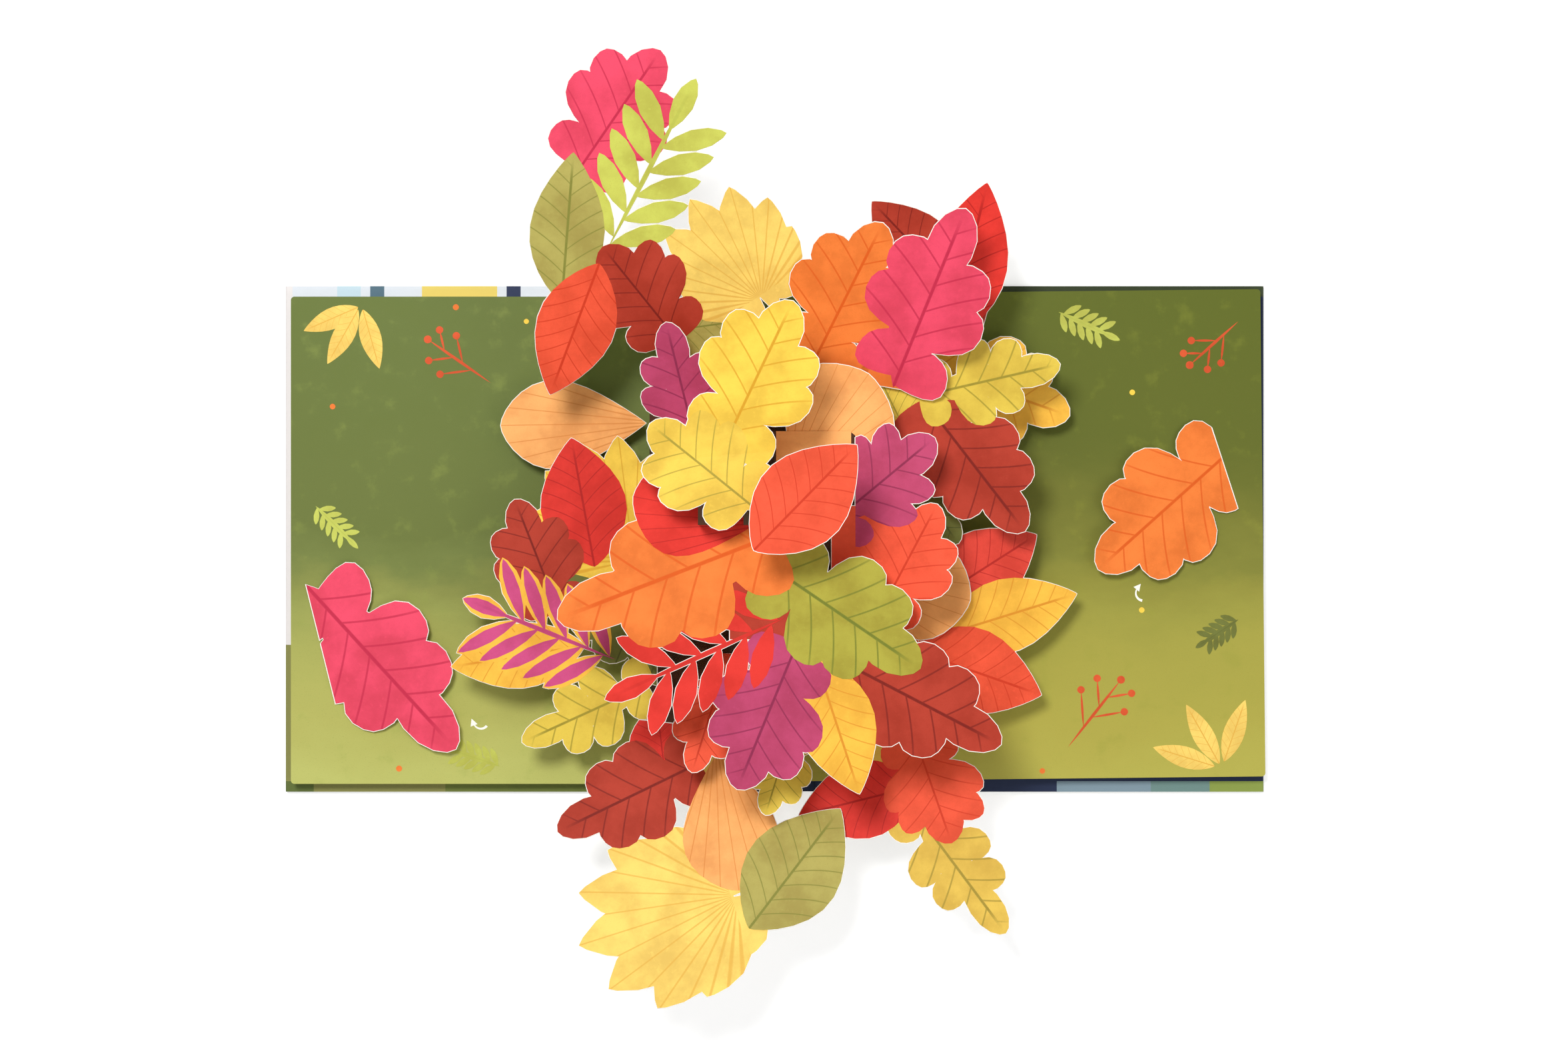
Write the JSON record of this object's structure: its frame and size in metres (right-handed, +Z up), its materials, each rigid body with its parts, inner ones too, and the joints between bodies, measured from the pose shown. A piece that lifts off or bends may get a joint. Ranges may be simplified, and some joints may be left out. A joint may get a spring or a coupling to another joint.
{
  "type": "pop up book",
  "caption": "Hard cover pop up book lying open, with hinged covers, card pages, lift flaps and a tall spray of die cut autumn leaves on folded card tiers.",
  "frame": {"origin": "centre of the spine's underside, where the open book rests on a table", "axes": "+X towards the right page, +Y towards the head of the book, +Z up out of the open pages"},
  "size_m": [0.416, 0.3816, 0.1019],
  "materials": {
    "cover": "matt laminated printed paper over grey board",
    "spine": "dark laminated paper over grey board",
    "pages": "printed card, silk coating, white edges",
    "white_card": "plain white card",
    "leaf_peach": "printed die cut card, silk coating, white edges",
    "leaf_amber": "printed die cut card, silk coating, white edges",
    "leaf_brick": "printed die cut card, silk coating, white edges",
    "leaf_orange_red": "printed die cut card, silk coating, white edges",
    "leaf_red": "printed die cut card, silk coating, white edges",
    "leaf_pale_yellow": "printed die cut card, silk coating, white edges",
    "leaf_mustard": "printed die cut card, silk coating, white edges",
    "leaf_crimson": "printed die cut card, silk coating, white edges",
    "leaf_orange": "printed die cut card, silk coating, white edges",
    "leaf_purple": "printed die cut card, silk coating, white edges",
    "leaf_yellow": "printed die cut card, silk coating, white edges"
  },
  "bodies": {
    "root": {"spine": "spine", "page_block": "pages", "storey_1_wall_left": "white_card", "storey_1_wall_right": "white_card", "storey_1_wall_gutter": "white_card", "storey_2_wall_left": "white_card", "storey_2_wall_right": "white_card", "storey_2_wall_gutter": "white_card", "storey_3_wall_left": "white_card", "storey_3_wall_right": "white_card", "storey_3_wall_gutter": "white_card", "storey_4_wall_left": "white_card", "storey_4_wall_right": "white_card", "storey_4_wall_gutter": "white_card", "storey_1_deck": "white_card", "storey_2_deck": "white_card", "storey_3_deck": "white_card", "low_strut_left": "white_card", "low_strut_right": "white_card", "upper_strut_left": "white_card", "upper_strut_middle": "white_card", "tip_strut": "white_card", "leaf_card_low_left": "leaf_peach", "leaf_card_right": "leaf_peach", "leaf_card_round": "leaf_peach", "leaf_card_low_right": "leaf_amber", "leaf_card_lower_left": "leaf_brick", "leaf_card_side_right": "leaf_brick", "leaf_card_lower_right": "leaf_orange_red", "leaf_card_tip": "leaf_orange_red", "leaf_card_head_low": "leaf_red", "leaf_card_foot_left": "leaf_pale_yellow", "leaf_card_foot_right": "leaf_mustard", "leaf_card_foot_middle": "leaf_mustard", "leaf_card_head_left": "leaf_crimson", "lift_flap_left": "leaf_crimson", "leaf_card_head_right": "leaf_orange", "leaf_platform": "leaf_orange", "lift_flap_right": "leaf_orange", "leaf_card_purple_left": "leaf_purple", "leaf_card_purple_right": "leaf_purple", "leaf_card_upper": "leaf_yellow"},
    "front_cover": {"front_cover": "cover"},
    "back_cover": {"back_cover": "cover"}
  },
  "joints": [
    {"name": "front_cover_hinge", "type": "hinge", "parent": "root", "child": "front_cover", "pos_m": [-0.01015, 0, 0], "axis": [0, -1, 0], "range_deg": [0, 90]},
    {"name": "back_cover_hinge", "type": "hinge", "parent": "root", "child": "back_cover", "pos_m": [0.01015, 0, 0], "axis": [0, 1, 0], "range_deg": [0, 90]}
  ]
}
